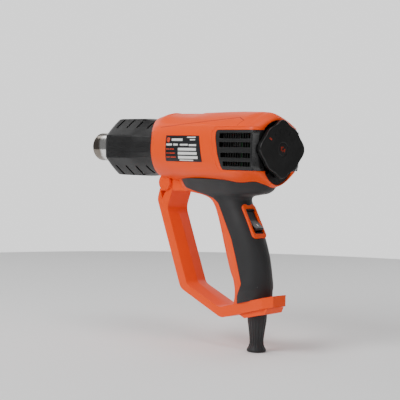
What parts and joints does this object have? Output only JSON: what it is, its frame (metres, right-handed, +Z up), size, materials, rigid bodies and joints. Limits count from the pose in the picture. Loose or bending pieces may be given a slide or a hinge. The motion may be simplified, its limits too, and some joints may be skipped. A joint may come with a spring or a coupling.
{
  "type": "heat gun",
  "caption": "Pistol-grip electric hot-air gun with a steel nozzle, ribbed barrel, vented body, rear temperature dial, rocker switch and an enclosed hand guard.",
  "frame": {"origin": "centre of the nozzle's mouth", "axes": "+X runs back along the blowing axis to the temperature dial, +Z is up, -Y is the left side of the tool"},
  "size_m": [0.265, 0.0666, 0.2261],
  "materials": {
    "orange_nylon": "moulded orange glass-filled nylon, fine satin grain",
    "black_elastomer": "soft black thermoplastic elastomer",
    "dark_nylon": "dark grey heat-resistant nylon, satin",
    "black_polymer": "black moulded ABS",
    "orange_mark": "orange-red inlay",
    "bright_steel": "polished stainless steel",
    "heater_steel": "heat-tinted stainless sheet",
    "mica": "pressed mica board",
    "heating_wire": "resistance wire",
    "steatite": "unglazed steatite",
    "fastener_steel": "zinc-plated steel",
    "motor_steel": "plated motor steel",
    "copper": "copper segments",
    "board": "green circuit board",
    "aluminium_fin": "extruded aluminium",
    "component_plastic": "moulded component bodies",
    "lead_insulation": "silicone-insulated leads",
    "label_film": "printed polyester film"
  },
  "bodies": {
    "casing": {"air_duct": "black_polymer", "barrel_sleeve": "dark_nylon", "bend_relief": "black_elastomer", "capacitor": "component_plastic", "ceramic_disc": "steatite", "circuit_board": "board", "cord_clamp": "black_polymer", "cord_collar": "orange_nylon", "cover_screws": "fastener_steel", "element_holder": "steatite", "element_leads": "lead_insulation", "front_guard": "orange_nylon", "guard_bolt": "fastener_steel", "guard_screws": "fastener_steel", "heat_shield": "heater_steel", "heat_sink": "aluminium_fin", "heat_tube": "heater_steel", "heating_coil": "heating_wire", "housing_screws": "fastener_steel", "knuckle_caps": "orange_nylon", "left_dust_screen": "black_polymer", "left_grip_overmould": "black_elastomer", "left_housing": "orange_nylon", "left_vent_panel": "dark_nylon", "mica_former": "mica", "mica_sleeve": "mica", "motor_can": "motor_steel", "motor_end_cap": "black_polymer", "motor_magnets": "motor_steel", "motor_mount_ring": "black_elastomer", "nozzle_tube": "bright_steel", "outlet_spider": "bright_steel", "potentiometer": "component_plastic", "power_switch_chip": "component_plastic", "rating_label": "label_film", "rear_cover": "dark_nylon", "relay_box": "black_polymer", "right_dust_screen": "black_polymer", "right_grip_overmould": "black_elastomer", "right_housing": "orange_nylon", "right_vent_panel": "dark_nylon", "rocker_pin": "fastener_steel", "supply_leads": "lead_insulation", "switch_bezel": "orange_nylon", "switch_body": "black_polymer", "terminal_block": "black_polymer", "thermal_cutout": "fastener_steel"},
    "dial": {"temperature_dial": "black_polymer", "dial_cap": "orange_mark", "potentiometer_shaft": "fastener_steel"},
    "rocker": {"switch_rocker": "black_polymer"},
    "fan": {"fan_impeller": "black_polymer", "motor_shaft": "fastener_steel", "armature": "motor_steel", "commutator": "copper"}
  },
  "joints": [
    {"name": "dial_turn", "type": "hinge", "parent": "casing", "child": "dial", "pos_m": [0.256, 0, 0], "axis": [1, 0, 0], "range_deg": [0, 270]},
    {"name": "rocker_tip", "type": "hinge", "parent": "casing", "child": "rocker", "pos_m": [0.2265, 0, -0.06933], "axis": [0, 1, 0], "range_deg": [0, 24]},
    {"name": "fan_spin", "type": "hinge", "parent": "casing", "child": "fan", "pos_m": [0.16, 0, 0], "axis": [1, 0, 0], "continuous": true}
  ]
}
